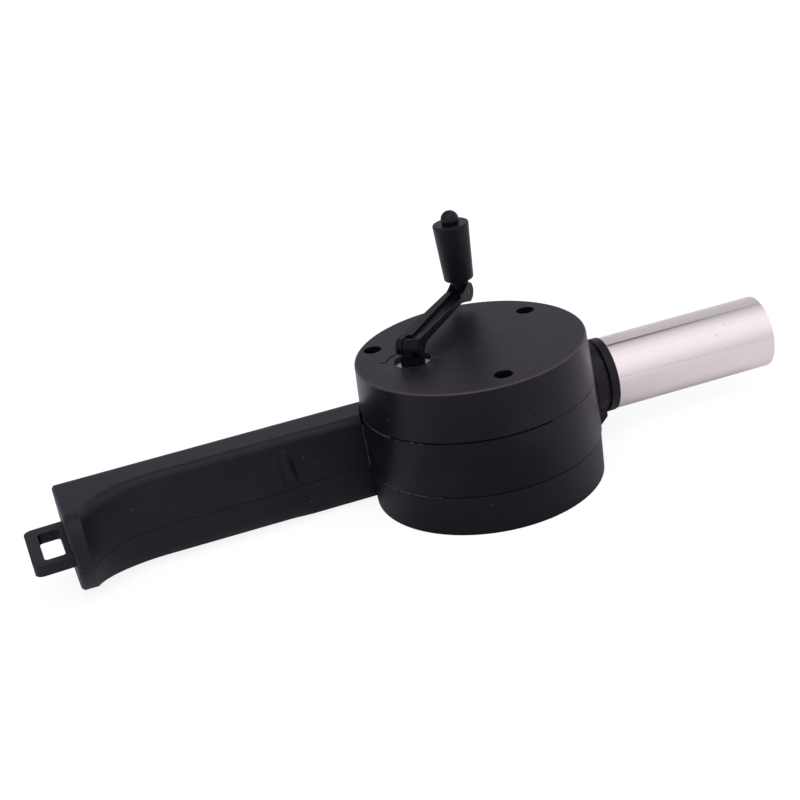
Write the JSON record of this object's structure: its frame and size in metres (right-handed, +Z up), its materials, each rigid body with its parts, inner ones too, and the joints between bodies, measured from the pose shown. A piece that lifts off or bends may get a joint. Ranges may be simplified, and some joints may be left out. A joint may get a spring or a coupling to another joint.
{
  "type": "hand crank fan",
  "caption": "Round hand-cranked blower with a side handle, a steel outlet tube and a folding crank with a knob; gears inside drive an impeller.",
  "frame": {"origin": "on the drum's axis, at the flat base that the fan stands on", "axes": "+X along the outlet tube away from the drum, +Y away from the scooped side of the handle, +Z up, parallel to the crank's axis"},
  "size_m": [0.2751, 0.0829, 0.0887],
  "materials": {
    "case_plastic": "black moulded ABS, semi-matte with fine scuffs",
    "crank_plastic": "black moulded nylon, semi-matte",
    "polished_tube": "polished stainless steel with light scratches",
    "plated_steel": "zinc plated steel",
    "dark_steel": "blackened steel pins",
    "bush_brass": "turned brass",
    "gear_plastic": "natural white acetal",
    "impeller_plastic": "dark moulded plastic"
  },
  "bodies": {
    "housing": {"top_cover": "case_plastic", "middle_housing": "case_plastic", "bottom_housing": "case_plastic", "handle_upper_shell": "case_plastic", "outlet_tube": "polished_tube", "tube_collar": "case_plastic", "cover_screws": "plated_steel", "base_screws": "plated_steel", "handle_screws": "plated_steel", "crank_washer": "gear_plastic", "crank_bush_upper": "bush_brass", "crank_bush_lower": "bush_brass", "gear_axles": "plated_steel", "gear_washers": "plated_steel", "impeller_bush_upper": "bush_brass", "impeller_bush_lower": "bush_brass", "impeller_washer": "plated_steel"},
    "crank": {"crank_shaft": "crank_plastic", "crank_gear": "gear_plastic", "crank_clip": "plated_steel"},
    "arm": {"crank_arm": "crank_plastic", "arm_hinge_pin": "dark_steel", "knob_hinge_pin": "dark_steel"},
    "stem": {"knob_stem": "crank_plastic"},
    "knob": {"crank_knob": "crank_plastic"},
    "idler": {"idler_gear": "gear_plastic"},
    "reverser": {"reversing_gear": "gear_plastic"},
    "rotor": {"impeller": "impeller_plastic", "impeller_shaft": "plated_steel", "impeller_pinion": "gear_plastic"}
  },
  "joints": [
    {"name": "crank_spin", "type": "hinge", "parent": "housing", "child": "crank", "pos_m": [-0.0205, 0, 0.0517], "axis": [0, 0, 1], "continuous": true},
    {"name": "arm_fold", "type": "hinge", "parent": "crank", "child": "arm", "pos_m": [-0.0205, 0, 0.0566], "axis": [0.7547, -0.6561, 0], "range_deg": [0, 90]},
    {"name": "knob_fold", "type": "hinge", "parent": "arm", "child": "stem", "pos_m": [0.01001, 0.03509, 0.0577], "axis": [-0.7547, 0.6561, 0], "range_deg": [0, 90]},
    {"name": "knob_spin", "type": "hinge", "parent": "stem", "child": "knob", "pos_m": [0.01001, 0.03509, 0.0735], "axis": [0, 0, 1], "continuous": true},
    {"name": "idler_spin", "type": "hinge", "parent": "housing", "child": "idler", "pos_m": [-0.01251, -0.01713, 0.0405], "axis": [0, 0, 1], "continuous": true},
    {"name": "reverser_spin", "type": "hinge", "parent": "housing", "child": "reverser", "pos_m": [0.0041, -0.00812, 0.0378], "axis": [0, 0, 1], "continuous": true},
    {"name": "impeller_spin", "type": "hinge", "parent": "housing", "child": "rotor", "pos_m": [0, 0, 0.017], "axis": [0, 0, 1], "continuous": true}
  ],
  "couplings": [
    {"joint": "idler_spin", "follows": "crank_spin", "ratio": -3.5},
    {"joint": "reverser_spin", "follows": "crank_spin", "ratio": 10},
    {"joint": "impeller_spin", "follows": "crank_spin", "ratio": -11.667}
  ]
}
